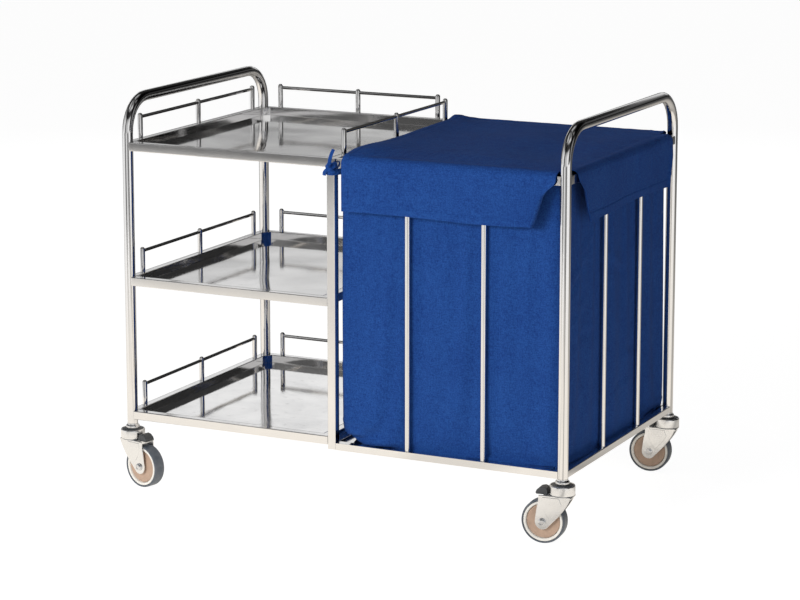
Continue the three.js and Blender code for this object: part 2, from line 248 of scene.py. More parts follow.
# ------------------------------------------------------------------ materials
def material(name, base, rough, metal=0.0, spec=None, build=None, **sockets):
    m = bpy.data.materials.new(name)
    m.use_nodes = True
    t = m.node_tree
    t.nodes.clear()
    g = Net(t)
    o = g.n("ShaderNodeOutputMaterial")
    p = g.n("ShaderNodeBsdfPrincipled")
    g.l(p.outputs[0], o.inputs["Surface"])
    p.inputs["Base Color"].default_value = (*base, 1)
    p.inputs["Roughness"].default_value = rough
    p.inputs["Metallic"].default_value = metal
    if spec is not None:
        p.inputs["Specular IOR Level"].default_value = spec
    for k, v in sockets.items():
        p.inputs[k.replace("_", " ")].default_value = v
    co = g.n("ShaderNodeTexCoord").outputs["Object"]
    if build:
        build(g, p, co)
    return m


def steel_look(base_a, base_b, r0, r1, grain=(260, 260, 7), wav=0.0, wav_scale=6.0, grain_bump=0.03):
    def build(g, p, co):
        smudge = g.noise(co, 9.0, 4.0, 0.6, 0.4)
        fine = g.noise(g.scaled(co, grain), 1.0, 4.0, 0.65)
        spots = g.noise(co, 55.0, 3.0, 0.6)
        tone = g.mix(g.math("MULTIPLY", smudge, 0.9, True), base_a, base_b)
        g.l(tone, p.inputs["Base Color"])
        s1 = g.ramp(smudge, [(0.3, 0.0), (0.75, 1.0)])
        r = g.math("ADD", g.math("MULTIPLY", s1, r1 - r0), r0)
        r = g.math("ADD", r, g.math("MULTIPLY", fine, 0.05))
        r = g.math("ADD", r, g.math("MULTIPLY", g.ramp(spots, [(0.62, 0.0), (0.72, 1.0)]), 0.07))
        g.l(r, p.inputs["Roughness"])
        nrm = g.bump(fine, 0.25, 0.00004 + grain_bump * 0.001)
        if wav:
            nrm = g.bump(g.noise(co, wav_scale, 1.5, 0.4), 1.0, wav, nrm)
        g.l(nrm, p.inputs["Normal"])
    return build


M = {}
M["steel_tube"] = material("polished_steel_tube", (0.8, 0.8, 0.79), 0.1, 1.0, build=steel_look((0.86, 0.85, 0.84), (0.74, 0.74, 0.75), 0.035, 0.13, grain=(240, 240, 30)))
M["steel_sheet"] = material("mirror_steel_sheet", (0.8, 0.8, 0.79), 0.06, 1.0, build=steel_look((0.88, 0.87, 0.86), (0.76, 0.76, 0.77), 0.02, 0.10, grain=(14, 420, 420), wav=0.0016, wav_scale=4.5))
M["caster_metal"] = material("zinc_pressing", (0.8, 0.81, 0.82), 0.2, 1.0, build=steel_look((0.88, 0.885, 0.89), (0.72, 0.73, 0.75), 0.16, 0.34, grain=(300, 300, 300), wav=0.0004, wav_scale=60, grain_bump=0.08))
M["axle_bolt"] = material("plated_bolt", (0.75, 0.76, 0.78), 0.2, 1.0, build=steel_look((0.8, 0.81, 0.83), (0.62, 0.63, 0.65), 0.14, 0.3, grain=(300, 300, 300), grain_bump=0.08))


def rubber(g, p, co):
    dust = g.noise(co, 38.0, 5.0, 0.65)
    c = g.mix(g.ramp(dust, [(0.42, 0.0), (0.78, 1.0)]), (0.085, 0.105, 0.135), (0.17, 0.185, 0.215))
    g.l(c, p.inputs["Base Color"])
    g.l(g.math("ADD", g.math("MULTIPLY", dust, 0.25), 0.38), p.inputs["Roughness"])
    g.l(g.bump(g.noise(co, 1400.0, 3.0, 0.6), 0.35, 0.00015), p.inputs["Normal"])


M["tyre"] = material("grey_rubber", (0.1, 0.12, 0.15), 0.5, build=rubber)


def plastic(ca, cb, r0, r1, dirt=0.3):
    def build(g, p, co):
        a = g.noise(co, 70.0, 4.0, 0.6)
        c = g.mix(g.math("MULTIPLY", g.ramp(a, [(0.4, 0.0), (0.8, 1.0)]), dirt), ca, cb)
        g.l(c, p.inputs["Base Color"])
        g.l(g.math("ADD", g.math("MULTIPLY", a, r1 - r0), r0), p.inputs["Roughness"])
        g.l(g.bump(g.noise(co, 2200.0, 2.0, 0.6), 0.25, 0.0001), p.inputs["Normal"])
    return build


M["rim"] = material("white_rim_plastic", (0.8, 0.79, 0.76), 0.4, build=plastic((0.84, 0.83, 0.80), (0.60, 0.58, 0.53), 0.3, 0.5))
M["hub_tan"] = material("tan_hub_plastic", (0.5, 0.38, 0.3), 0.45, build=plastic((0.47, 0.335, 0.255), (0.33, 0.235, 0.18), 0.35, 0.6, 0.6))
M["brake_pedal"] = material("grey_pedal_plastic", (0.05, 0.055, 0.06), 0.45, build=plastic((0.045, 0.05, 0.056), (0.10, 0.105, 0.11), 0.35, 0.6, 0.6))


def cloth_look(ca, cb, pitch=0.0011, strength=0.5):
    def build(g, p, co):
        s = g.n("ShaderNodeSeparateXYZ")
        g.l(co, s.inputs[0])
        wob = g.noise(co, 160.0, 2.0, 0.5)
        diag = g.math("ADD", g.math("ADD", s.outputs[0], s.outputs[1]), s.outputs[2])
        k = 2 * math.pi / pitch
        t1 = g.math("SINE", g.math("ADD", g.math("MULTIPLY", diag, k), g.math("MULTIPLY", wob, 3.0)))
        anti = g.math("SUBTRACT", g.math("ADD", s.outputs[0], s.outputs[1]), s.outputs[2])
        t2 = g.math("SINE", g.math("ADD", g.math("MULTIPLY", anti, k * 1.6), g.math("MULTIPLY", wob, 3.0)))
        weave = g.math("ADD", g.math("MULTIPLY", t1, 0.6), g.math("MULTIPLY", t2, 0.4))
        slub = g.noise(g.scaled(co, (420, 420, 60)), 1.0, 3.0, 0.6)
        slub2 = g.noise(g.scaled(co, (60, 60, 420)), 1.0, 3.0, 0.6)
        mott = g.noise(co, 9.0, 5.0, 0.6, 0.3)
        grain = g.noise(co, 330.0, 2.0, 0.7)
        wear = g.noise(co, 60.0, 4.0, 0.65)
        f1 = g.math("ADD", g.math("MULTIPLY", slub, 0.5), g.math("MULTIPLY", slub2, 0.5))
        f1 = g.math("ADD", g.math("MULTIPLY", g.math("SUBTRACT", f1, 0.5), 1.6), g.math("MULTIPLY", weave, 0.06))
        f2 = g.math("ADD", f1, g.math("MULTIPLY", g.math("SUBTRACT", mott, 0.5), 0.55))
        f2 = g.math("ADD", f2, g.math("MULTIPLY", g.math("SUBTRACT", grain, 0.5), 2.1))
        f2 = g.math("ADD", f2, g.math("MULTIPLY", g.math("SUBTRACT", wear, 0.5), 0.35))
        f3 = g.math("ADD", f2, 0.5, True)
        g.l(g.mix(f3, ca, cb), p.inputs["Base Color"])
        g.l(g.math("ADD", g.math("MULTIPLY", slub, 0.15), 0.8), p.inputs["Roughness"])
        n1 = g.bump(weave, strength, 0.00025)
        n2 = g.bump(g.math("ADD", slub, slub2), 0.5, 0.0004, n1)
        g.l(n2, p.inputs["Normal"])
    return build


M["blue_fabric"] = material("blue_drill_cloth", (0.02, 0.07, 0.3), 0.85, spec=0.08, Sheen_Weight=0.02, Sheen_Roughness=0.5,
                            build=cloth_look((0.0085, 0.036, 0.185), (0.021, 0.086, 0.325)))
M["blue_tape"] = material("blue_tape", (0.02, 0.07, 0.3), 0.85, spec=0.08, Sheen_Weight=0.02, Sheen_Roughness=0.5,
                          build=cloth_look((0.010, 0.045, 0.21), (0.022, 0.095, 0.38), pitch=0.0016, strength=0.8))


# ------------------------------------------------------------------ CAD nodes: finish and fine edges
def finish_node(o, mat, bevel=0.0, segs=2, angle=40):
    me = o.data
    a = me.attributes.get("custom_normal")
    if a:
        me.attributes.remove(a)
    me.polygons.foreach_set("use_smooth", [True] * len(me.polygons))
    me.materials.clear()
    me.materials.append(mat)
    wm = o.modifiers.new("weld", "WELD")
    wm.merge_threshold = 0.00002
    if bevel:
        b = o.modifiers.new("edge", "BEVEL")
        b.width, b.segments, b.limit_method, b.angle_limit = bevel, segs, "ANGLE", math.radians(angle)
        b.use_clamp_overlap = True
        wn = o.modifiers.new("normals", "WEIGHTED_NORMAL")
        wn.keep_sharp = True
    else:
        es = o.modifiers.new("sharp", "EDGE_SPLIT")
        es.split_angle = math.radians(angle)


for name, o in NODES.items():
    if name.endswith("_fork"):
        finish_node(o, M["caster_metal"], 0.0009, 2, 32)
    elif name.endswith("_stem"):
        finish_node(o, M["caster_metal"], 0.0, angle=35)
    elif name.endswith("_axle"):
        finish_node(o, M["axle_bolt"], 0.0, angle=32)
    elif name.endswith("_brake_pedal"):
        finish_node(o, M["brake_pedal"], 0.0028, 3, 30)
    elif name.endswith("_tray") or name == "bag_base_plate":
        finish_node(o, M["steel_sheet"], 0.0005, 1, 40)
    elif name.endswith("_rim") or name.endswith("_rail") and "guard" not in name or name.endswith("_mid_post"):
        finish_node(o, M["steel_tube"], 0.0016, 3, 42)
    elif name in ("linen_bag", "bag_cover", "cover_end_skirt", "tape_tie"):
        pass
    else:
        finish_node(o, M["steel_tube"], 0.0, angle=40)


# ------------------------------------------------------------------ mesh helpers
def add_mesh(name, verts, faces, mat, smooth=True):
    me = bpy.data.meshes.new(name)
    me.from_pydata([tuple(v) for v in verts], [], [tuple(int(i) for i in q) for q in faces])
    me.validate()
    me.update()
    me.polygons.foreach_set("use_smooth", [smooth] * len(me.polygons))
    me.materials.append(mat)
    o = bpy.data.objects.new(name, me)
    scene.collection.objects.link(o)
    return o


def lathe(profile, seg, origin, axis):
    """Closed loop of (radius, along) turned about an axis through origin."""
    axis = Vector(axis).normalized()
    side = axis.cross(Vector((0, 0, 1))).normalized()
    up = side.cross(axis)
    vs, fs = [], []
    n = len(profile)
    for i in range(seg):
        a = 2 * math.pi * i / seg
        rad = side * math.cos(a) + up * math.sin(a)
        for r, h in profile:
            vs.append(Vector(origin) + rad * r + axis * h)
    for i in range(seg):
        j = (i + 1) % seg
        for k in range(n):
            l = (k + 1) % n
            fs.append((i * n + k, i * n + l, j * n + l, j * n + k))
    return vs, fs


def arc_pts(cx, cy, r, a0, a1, n):
    return [(cx + r * math.cos(math.radians(a0 + (a1 - a0) * i / n)), cy + r * math.sin(math.radians(a0 + (a1 - a0) * i / n))) for i in range(n + 1)]


def fix_normals(o):
    import bmesh
    bm = bmesh.new()
    bm.from_mesh(o.data)
    bmesh.ops.recalc_face_normals(bm, faces=bm.faces)
    bm.to_mesh(o.data)
    bm.free()


# ------------------------------------------------------------------ wheels
def mm(v):
    return v / 1000.0


for corner in ("front_left", "front_right", "back_right", "back_left"):
    joint = next(j for j in frame["joints"] if j["name"] == corner + "_wheel_spin")
    centre, axis = Vector(joint["pos_m"]), Vector(joint["axis"])
    body = f"caster_{corner}_wheel"
    s = 0.001
    # tyre: flat running band, round shoulders, a moulded line on each side wall
    half = [(45.75, 0.0), (45.75, 12.6), (46.2, 14.0), (46.8, 15.1), (47.4, 15.55), (47.7, 15.2), (47.95, 15.15)]
    half += [(48.4, 15.0), (49.1, 14.1), (49.65, 12.8), (49.95, 11.3), (50.0, 10.0), (50.0, 4.0)]
    prof = half + [(50.0, 0.0)] + [(r, -h) for r, h in half[:0:-1]]
    prof = [(r * s, h * s) for r, h in prof]
    v, fcs = lathe(prof, 96, centre, axis)
    o = add_mesh(f"tyre_{corner}", v, fcs, M["tyre"])
    fix_normals(o)
    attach(o, body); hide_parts(f"caster_{corner}_tyre")
    es = o.modifiers.new("sharp", "EDGE_SPLIT"); es.split_angle = math.radians(50)
    # rim ring with a rounded bead each side and a thin web to the bearing boss
    half = [(4.45, 0.0), (4.45, 15.2), (5.0, 15.6), (9.6, 15.6), (10.6, 15.0), (11.2, 13.6), (11.6, 5.4), (38.4, 5.2), (38.9, 6.4), (39.1, 11.6), (39.9, 13.3), (41.4, 14.1), (43.6, 14.1), (44.9, 13.5), (45.5, 12.3)]
    prof = half + [(45.5, 0.0)] + [(r, -h) for r, h in half[:0:-1]]
    v, fcs = lathe([(r * s, h * s) for r, h in prof], 96, centre, axis)
    o = add_mesh(f"wheel_rim_{corner}", v, fcs, M["rim"])
    fix_normals(o)
    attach(o, body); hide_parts(f"caster_{corner}_wheel_hub")
    es = o.modifiers.new("sharp", "EDGE_SPLIT"); es.split_angle = math.radians(42)
    # pressed hub discs
    for side, sg in (("outer", 1), ("inner", -1)):
        pr = [(12.0, 5.7), (12.0, 11.6), (13.2, 12.2), (16.0, 11.9), (24.0, 11.0), (33.0, 10.2), (34.2, 10.6), (36.6, 10.6), (37.8, 10.0), (38.4, 9.0), (38.4, 5.7)]
        pr = [(r * s, sg * h * s) for r, h in pr]
        v, fcs = lathe(pr, 80, centre, axis)
        o = add_mesh(f"hub_disc_{side}_{corner}", v, fcs, M["hub_tan"])
        fix_normals(o)
        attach(o, body)
        es = o.modifiers.new("sharp", "EDGE_SPLIT"); es.split_angle = math.radians(35)


# ------------------------------------------------------------------ swivel heads and forks
SWIVEL = dict(front_left=345, front_right=186, back_right=186, back_left=15)
POST = dict(front_left=(-0.55, -0.325), front_right=(0.55, -0.325), back_right=(0.55, 0.325), back_left=(-0.55, 0.325))


def outline(points, arcs=None):
    return [tuple(p) for p in points]


def plate(name, pts, y0, y1, corner, mat, bevel):
    """Flat pressing: outline in the castor's own X-Z plane (mm), from y0 to y1."""
    px, py = POST[corner]
    ph = math.radians(SWIVEL[corner])
    c, s_ = math.cos(ph), math.sin(ph)
    vs, n = [], len(pts)
    for y in (y0, y1):
        for x, z in pts:
            X, Y = x * 0.001, y * 0.001
            vs.append((px + X * c - Y * s_, py + X * s_ + Y * c, z * 0.001))
    fs = [tuple(range(n)), tuple(range(2 * n - 1, n - 1, -1))]
    fs += [(i, i + n, (i + 1) % n + n, (i + 1) % n) for i in range(n)]
    o = add_mesh(name, vs, fs, mat)
    fix_normals(o)
    b = o.modifiers.new("edge", "BEVEL")
    b.width, b.segments, b.limit_method, b.angle_limit = bevel * 0.001, 3, "ANGLE", math.radians(40)
    b.use_clamp_overlap = True
    wn = o.modifiers.new("normals", "WEIGHTED_NORMAL")
    return o


def bez(p0, p1, p2, n):
    return [((1 - t) ** 2 * p0[0] + 2 * t * (1 - t) * p1[0] + t * t * p2[0], (1 - t) ** 2 * p0[1] + 2 * t * (1 - t) * p1[1] + t * t * p2[1]) for t in [i / n for i in range(n + 1)]]


CHEEK = [(-22.5, 111.0)] + bez((-22.0, 104.0), (-16.0, 88.0), (4.0, 64.0), 8) + bez((4.0, 64.0), (14.0, 52.5), (25.9, 40.6), 6)[1:]
CHEEK += arc_pts(40, 50, 17, 214, 360, 16)[1:] + bez((57.0, 50.0), (55.0, 76.0), (50.0, 96.0), 6)[1:] + [(49.5, 111.0)]
RIB = [(2.0, 107.0)] + bez((-4.0, 92.0), (4.0, 78.0), (20.0, 62.0), 6) + bez((24.0, 58.0), (32.0, 66.0), (38.0, 80.0), 5)[0:] + bez((41.0, 88.0), (42.0, 98.0), (40.0, 107.0), 4)

for corner in SWIVEL:
    body = f"caster_{corner}_swivel"
    fork_parts = []
    for side, sg in (("a", 1), ("b", -1)):
        o = plate(f"fork_cheek_{side}_{corner}", CHEEK, sg * 17.2, sg * 20.2, corner, M["caster_metal"], 1.3)
        fork_parts.append(o)
        o = plate(f"fork_rib_{side}_{corner}", RIB, sg * 19.0, sg * 21.0, corner, M["caster_metal"], 0.95)
        fork_parts.append(o)
    crown = [(-24.5, 105.6), (-25.0, 108.0), (-23.0, 111.2), (28.2, 111.2), (28.9, 108.6), (28.4, 105.6)]
    fork_parts.append(plate(f"fork_crown_{corner}", crown, -20.0, 20.0, corner, M["caster_metal"], 1.2))
    px, py = POST[corner]
    ring = [(22.0, 112.6), (27.6, 112.6), (28.3, 113.4), (28.5, 115.0), (28.5, 131.4), (28.1, 133.2), (27.0, 134.2), (25.6, 134.1), (24.9, 132.8), (24.6, 128.0), (22.0, 126.0)]
    v, fcs = lathe([(r * 0.001, h * 0.001) for r, h in ring], 72, (px, py, 0), (0.0001, 0, 1))
    o = add_mesh(f"swivel_ring_{corner}", v, fcs, M["caster_metal"]); fix_normals(o)
    es = o.modifiers.new("sharp", "EDGE_SPLIT"); es.split_angle = math.radians(50)
    fork_parts.append(o)
    # painted shade: a dark rubber ring fills the thin gap between the fork crown and the swivel ring, standing in for
    # the shadow inside that gap
    gap = [(20.0, 110.8), (26.3, 110.8), (26.5, 112.7), (20.0, 112.7)]
    v, fcs = lathe([(r * 0.001, h * 0.001) for r, h in gap], 48, (px, py, 0), (0.0001, 0, 1))
    o = add_mesh(f"painted_shade_ring_{corner}", v, fcs, M["tyre"]); fix_normals(o)
    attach(o, body)
    for o in fork_parts:
        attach(o, body)
    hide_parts(f"caster_{corner}_fork")
    # stem: dust seal in the race, plated nut, short neck into the post
    seal = [(14.0, 132.0), (24.3, 132.0), (24.3, 133.4), (23.0, 134.2), (17.0, 134.0), (16.2, 135.0), (14.0, 135.0)]
    v, fcs = lathe([(r * 0.001, h * 0.001) for r, h in seal], 60, (px, py, 0), (0.0001, 0, 1))
    o = add_mesh(f"race_seal_{corner}", v, fcs, M["brake_pedal"]); fix_normals(o)
    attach(o, "root")
    stem = [(0.5, 108.2), (6.0, 108.2), (6.0, 132.0), (14.5, 132.0), (14.5, 135.0), (15.6, 135.8), (15.9, 137.0), (15.9, 141.6), (15.2, 142.8), (13.4, 143.4), (12.6, 144.4), (12.6, 147.2), (11.9, 147.9), (10.0, 148.0), (10.0, 187.6), (0.5, 187.6)]
    v, fcs = lathe([(r * 0.001, h * 0.001) for r, h in stem], 60, (px, py, 0), (0.0001, 0, 1))
    o = add_mesh(f"stem_neck_{corner}", v, fcs, M["caster_metal"]); fix_normals(o)
    es = o.modifiers.new("sharp", "EDGE_SPLIT"); es.split_angle = math.radians(42)
    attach(o, "root"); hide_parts(f"caster_{corner}_stem")
    # raised plated nut with a washer on each end of the axle
    joint = next(j for j in frame["joints"] if j["name"] == corner + "_wheel_spin")
    axc, axd = Vector(joint["pos_m"]), Vector(joint["axis"])
    for side, sg in (("a", 1), ("b", -1)):
        nut = [(4.2, 20.6), (9.2, 20.6), (9.2, 21.5), (8.6, 21.9), (7.5, 22.0), (7.3, 22.4), (7.3, 24.6), (6.4, 25.4), (4.4, 25.6), (4.2, 25.0)]
        v, fcs = lathe([(r * 0.001, sg * h * 0.001) for r, h in nut], 36, axc, axd)
        o = add_mesh(f"axle_nut_{side}_{corner}", v, fcs, M["axle_bolt"]); fix_normals(o)
        es = o.modifiers.new("sharp", "EDGE_SPLIT"); es.split_angle = math.radians(40)
        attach(o, body)


# ------------------------------------------------------------------ smooth seeded noise
def waves(n, seed, fmin, fmax):
    r = np.random.default_rng(seed)
    return [(r.uniform(fmin, fmax) * (1 if r.random() > 0.5 else -1), r.uniform(0, 2 * math.pi), r.uniform(-1, 1), r.uniform(0.4, 1.0)) for _ in range(n)]


def fold_noise(a, b, comps, skew):
    """Sum of long folds that run mainly along b."""
    t = np.zeros_like(a)
    for f_, ph, k, am in comps:
        t += am * np.sin(a * f_ + b * skew * k + ph)
    return t / max(1.0, math.sqrt(len(comps)))


def smoothstep(x, a, b):
    t = np.clip((x - a) / (b - a), 0, 1)
    return t * t * (3 - 2 * t)


# ------------------------------------------------------------------ cloth settling
def box_proxy(name, lo, hi):
    import bmesh
    bm = bmesh.new()
    bmesh.ops.create_cube(bm, size=1.0)
    for v in bm.verts:
        v.co = [lo[k] + (v.co[k] + 0.5) * (hi[k] - lo[k]) for k in range(3)]
    me = bpy.data.meshes.new(name)
    bm.to_mesh(me)
    bm.free()
    o = bpy.data.objects.new(name, me)
    scene.collection.objects.link(o)
    return o


def bar_proxy(name, x, y, r, z0, z1, n=12):
    vs = [(x + r * math.cos(2 * math.pi * i / n), y + r * math.sin(2 * math.pi * i / n), z) for z in (z0, z1) for i in range(n)]
    fs = [tuple(range(n))[::-1], tuple(range(n, 2 * n))] + [(i, (i + 1) % n, (i + 1) % n + n, i + n) for i in range(n)]
    me = bpy.data.meshes.new(name)
    me.from_pydata(vs, [], fs)
    o = bpy.data.objects.new(name, me)
    scene.collection.objects.link(o)
    return o


def rod_proxy(name, a, b, r, n=20):
    a, b = Vector(a), Vector(b)
    t = (b - a).normalized()
    u = t.cross(Vector((0, 0, 1))).normalized()
    w2 = t.cross(u)
    vs = [p_ + u * r * math.cos(2 * math.pi * i / n) + w2 * r * math.sin(2 * math.pi * i / n) for p_ in (a, b) for i in range(n)]
    fs = [tuple(range(n))[::-1], tuple(range(n, 2 * n))] + [(i, (i + 1) % n, (i + 1) % n + n, i + n) for i in range(n)]
    me = bpy.data.meshes.new(name)
    me.from_pydata([tuple(v) for v in vs], [], fs)
    o = bpy.data.objects.new(name, me)
    scene.collection.objects.link(o)
    return o


def settle(o, weights, colliders, frames=24, shrink=0.0, pressure=0.0, mass=0.25, bend=0.6, stiff=18.0, damp=6.0, friction=8.0, gap=0.0012, quality=6):
    """Let the sheet fall onto what carries it, then keep the settled shape."""
    start = np.empty(len(o.data.vertices) * 3)
    o.data.vertices.foreach_get("co", start)
    for c in colliders:
        cm = c.modifiers.new("collision", "COLLISION")
        c.collision.thickness_outer = 0.001
        c.collision.thickness_inner = 0.006
        c.collision.cloth_friction = friction
    if weights:
        vg = o.vertex_groups.new(name="pin")
        for wgt, ids in weights:
            vg.add([int(i) for i in ids], wgt, "REPLACE")
    m = o.modifiers.new("cloth", "CLOTH")
    st = m.settings
    st.quality = quality
    st.mass = mass
    st.tension_stiffness = st.compression_stiffness = stiff
    st.shear_stiffness = stiff * 0.4
    st.bending_stiffness = bend
    st.tension_damping = st.compression_damping = damp
    st.shear_damping = damp
    st.bending_damping = 0.8
    st.air_damping = 2.0
    st.shrink_min = shrink
    if weights:
        st.vertex_group_mass = "pin"
        st.pin_stiffness = 1.0
    if pressure:
        st.use_pressure = True
        st.uniform_pressure_force = pressure
    m.collision_settings.distance_min = gap
    m.collision_settings.collision_quality = 3
    m.point_cache.frame_start, m.point_cache.frame_end = 1, frames + 1
    for fr_ in range(1, frames + 2):
        scene.frame_set(fr_)
    dg = bpy.context.evaluated_depsgraph_get()
    ev = o.evaluated_get(dg)
    me = ev.to_mesh()
    got = np.empty(len(me.vertices) * 3)
    me.vertices.foreach_get("co", got)
    ev.to_mesh_clear()
    o.modifiers.remove(m)
    if weights:
        o.vertex_groups.clear()
    for c in colliders:
        me_c = c.data
        bpy.data.objects.remove(c, do_unlink=True)
        bpy.data.meshes.remove(me_c)
    scene.frame_set(1)
    if len(got) == len(start) and np.isfinite(got).all() and np.abs(got - start).max() < 0.15:
        o.data.vertices.foreach_set("co", got)
        o.data.update()
        print("SETTLED", o.name, "moved up to", round(float(np.abs(got - start).max()) * 1000, 1), "mm, mean", round(float(np.abs(got - start).mean()) * 1000, 2))
        return True
    print("SETTLE REJECTED", o.name, np.abs(got - start).max() if len(got) == len(start) else "size")
    return False


# ------------------------------------------------------------------ linen bag
BAG = dict(x0=0.001, x1=0.5385, y=0.3145, z0=0.1602, z1=0.817, r=0.014)
BARS_X, BARS_Y = (0.172, 0.358), (-0.094, 0.120)


def crease_bag(o):
    """Handling creases left in the cloth, and the bottom seam showing at the slack lower corner."""
    me = o.data
    n = len(me.vertices)
    co = np.empty(n * 3); me.vertices.foreach_get("co", co); co = co.reshape(-1, 3)
    nr = np.array([v.normal[:] for v in me.vertices])
    if (nr[:, 1] * np.sign(co[:, 1]))[abs(co[:, 1]) > 0.3].mean() < 0:
        nr = -nr
    disp = np.zeros(n)
    hang = smoothstep(co[:, 2], 0.163, 0.176) * (1 - smoothstep(co[:, 2], 0.79, 0.81))
    side_front = (nr[:, 1] < -0.5); side_right = (nr[:, 0] > 0.5); side_back = (nr[:, 1] > 0.5); side_left = (nr[:, 0] < -0.5)
    r = np.random.default_rng(77)
    def arc_crease(mask, a, z, p, q, bow, amp, sig):
        # a crease from p to q in the plane of the side, bowed by `bow`
        d0 = np.array(q) - np.array(p); L = np.hypot(*d0); t_ = d0 / L; n_ = np.array([-t_[1], t_[0]])
        da, dz = a - p[0], z - p[1]
        u = (da * t_[0] + dz * t_[1]) / L
        v = da * n_[0] + dz * n_[1] - bow * 4 * u * (1 - u)
        amp = amp * 1.8
        prof = np.exp(-(v / sig) ** 2) - 0.55 * np.exp(-((v + 1.7 * sig) / (1.2 * sig)) ** 2)
        return np.where(mask, amp * prof * smoothstep(u, 0, 0.25) * (1 - smoothstep(u, 0.7, 1.0)), 0)
    a, z = co[:, 0], co[:, 2]
    front = [((0.19, 0.676), (0.33, 0.640), -0.012, 0.0016, 0.007), ((0.375, 0.64), (0.52, 0.70), 0.016, 0.0014, 0.008), ((0.18, 0.60), (0.26, 0.52), 0.010, 0.0012, 0.009),
             ((0.01, 0.40), (0.165, 0.36), -0.008, 0.0013, 0.007), ((0.20, 0.30), (0.35, 0.20), 0.018, 0.0016, 0.009), ((0.37, 0.27), (0.53, 0.19), -0.020, 0.0015, 0.010),
             ((0.37, 0.45), (0.50, 0.39), 0.012, 0.0010, 0.009), ((0.02, 0.60), (0.15, 0.66), 0.010, 0.0010, 0.008), ((0.20, 0.43), (0.34, 0.47), 0.014, 0.0010, 0.009),
             ((-0.01, 0.213), (0.165, 0.186), 0.012, 0.0030, 0.0055)]
    for p, q, bow, amp, sig in front:
        disp += arc_crease(side_front, a, z, p, q, bow, amp, sig)
    for mask, ax, lo_, hi_ in ((side_right, co[:, 1], -0.30, 0.30), (side_left, co[:, 1], -0.30, 0.30), (side_back, co[:, 0], 0.01, 0.53)):
        for _ in range(9):
            p = (r.uniform(lo_, hi_), r.uniform(0.2, 0.72)); q = (p[0] + r.uniform(0.08, 0.17) * (1 if r.random() > 0.5 else -1), p[1] + r.uniform(-0.08, 0.08))
            disp += arc_crease(mask, ax, z, p, q, r.uniform(-0.015, 0.015), r.uniform(0.0010, 0.0018), r.uniform(0.006, 0.010))
    # nothing pushed out through a bar
    near_bar = np.zeros(n, bool)
    for bx in BARS_X:
        near_bar |= (abs(co[:, 1]) > 0.30) & (abs(co[:, 0] - bx) < 0.014)
    for by in BARS_Y:
        near_bar |= (co[:, 0] > 0.52) & (abs(co[:, 1] - by) < 0.014)
    disp = np.where(near_bar, np.minimum(disp, 0), disp) * hang
    co = co + nr * disp[:, None]
    me.vertices.foreach_set("co", co.ravel())
    me.update()


